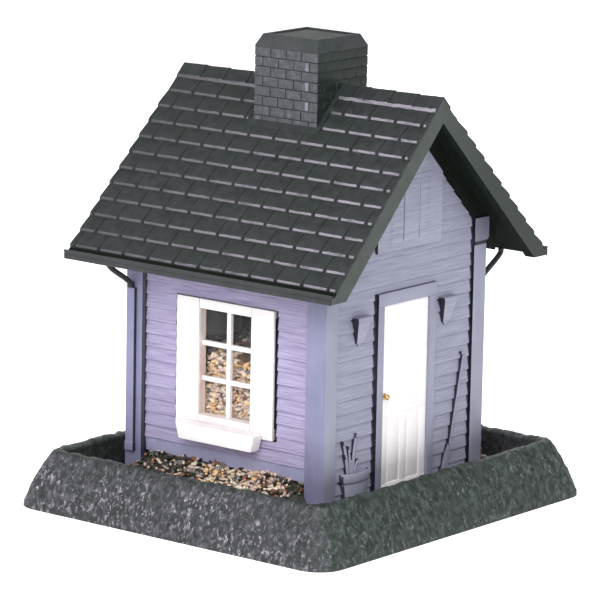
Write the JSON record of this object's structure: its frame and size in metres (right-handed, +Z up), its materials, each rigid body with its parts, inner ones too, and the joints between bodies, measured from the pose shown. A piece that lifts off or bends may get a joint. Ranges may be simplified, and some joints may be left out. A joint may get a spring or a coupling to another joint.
{
  "type": "cottage hopper bird feeder",
  "caption": "Bird feeder shaped like a clapboard cottage: seed hopper with windows and doors on a thick-rimmed seed tray, with a lift-off shingled roof and a chimney cap over the fill hole.",
  "frame": {"origin": "middle of the tray's foot, on the ground plane", "axes": "+Z up, +X along the roof ridge towards one door, -Y towards one window; the other door and window repeat them half a turn about Z"},
  "size_m": [0.248, 0.272, 0.2957],
  "materials": {
    "stone_plastic": "matte charcoal moulded with a rough stone face",
    "shingle_plastic": "matte charcoal moulded as shingles",
    "lavender_plastic": "satin lavender moulded as clapboards",
    "white_plastic": "smooth white",
    "clear_plastic": "clear",
    "knob_brass": "polished",
    "screw_steel": "zinc plated",
    "dark_plastic": "matte black"
  },
  "bodies": {
    "house": {"base_tray": "stone_plastic", "pole_socket": "dark_plastic", "seed_baffle": "dark_plastic", "socket_screw_1": "screw_steel", "socket_screw_2": "screw_steel", "socket_screw_3": "screw_steel", "socket_screw_4": "screw_steel", "post_screw_1": "screw_steel", "post_screw_2": "screw_steel", "post_screw_3": "screw_steel", "post_screw_4": "screw_steel", "gable_wall_right": "lavender_plastic", "gable_wall_left": "lavender_plastic", "eave_wall_front": "lavender_plastic", "eave_wall_back": "lavender_plastic", "downspout_front": "lavender_plastic", "downspout_back": "lavender_plastic", "window_frame_front": "white_plastic", "window_frame_back": "white_plastic", "window_pane_front": "clear_plastic", "window_pane_back": "clear_plastic", "shutter_front_left": "white_plastic", "shutter_front_right": "white_plastic", "shutter_back_left": "white_plastic", "shutter_back_right": "white_plastic", "window_box_front": "white_plastic", "window_box_back": "white_plastic", "door_right": "white_plastic", "door_left": "white_plastic", "door_knob_right": "knob_brass", "door_knob_left": "knob_brass"},
    "roof": {"roof_shell": "shingle_plastic", "gutter_elbow_front": "shingle_plastic", "gutter_elbow_back": "shingle_plastic"},
    "chimney": {"chimney_cap": "shingle_plastic"}
  },
  "joints": [
    {"name": "roof_lift", "type": "slide", "parent": "house", "child": "roof", "axis": [0, 0, 1], "range_m": [0, 0.12]},
    {"name": "chimney_lift", "type": "slide", "parent": "roof", "child": "chimney", "axis": [0, 0, 1], "range_m": [0, 0.06]}
  ]
}
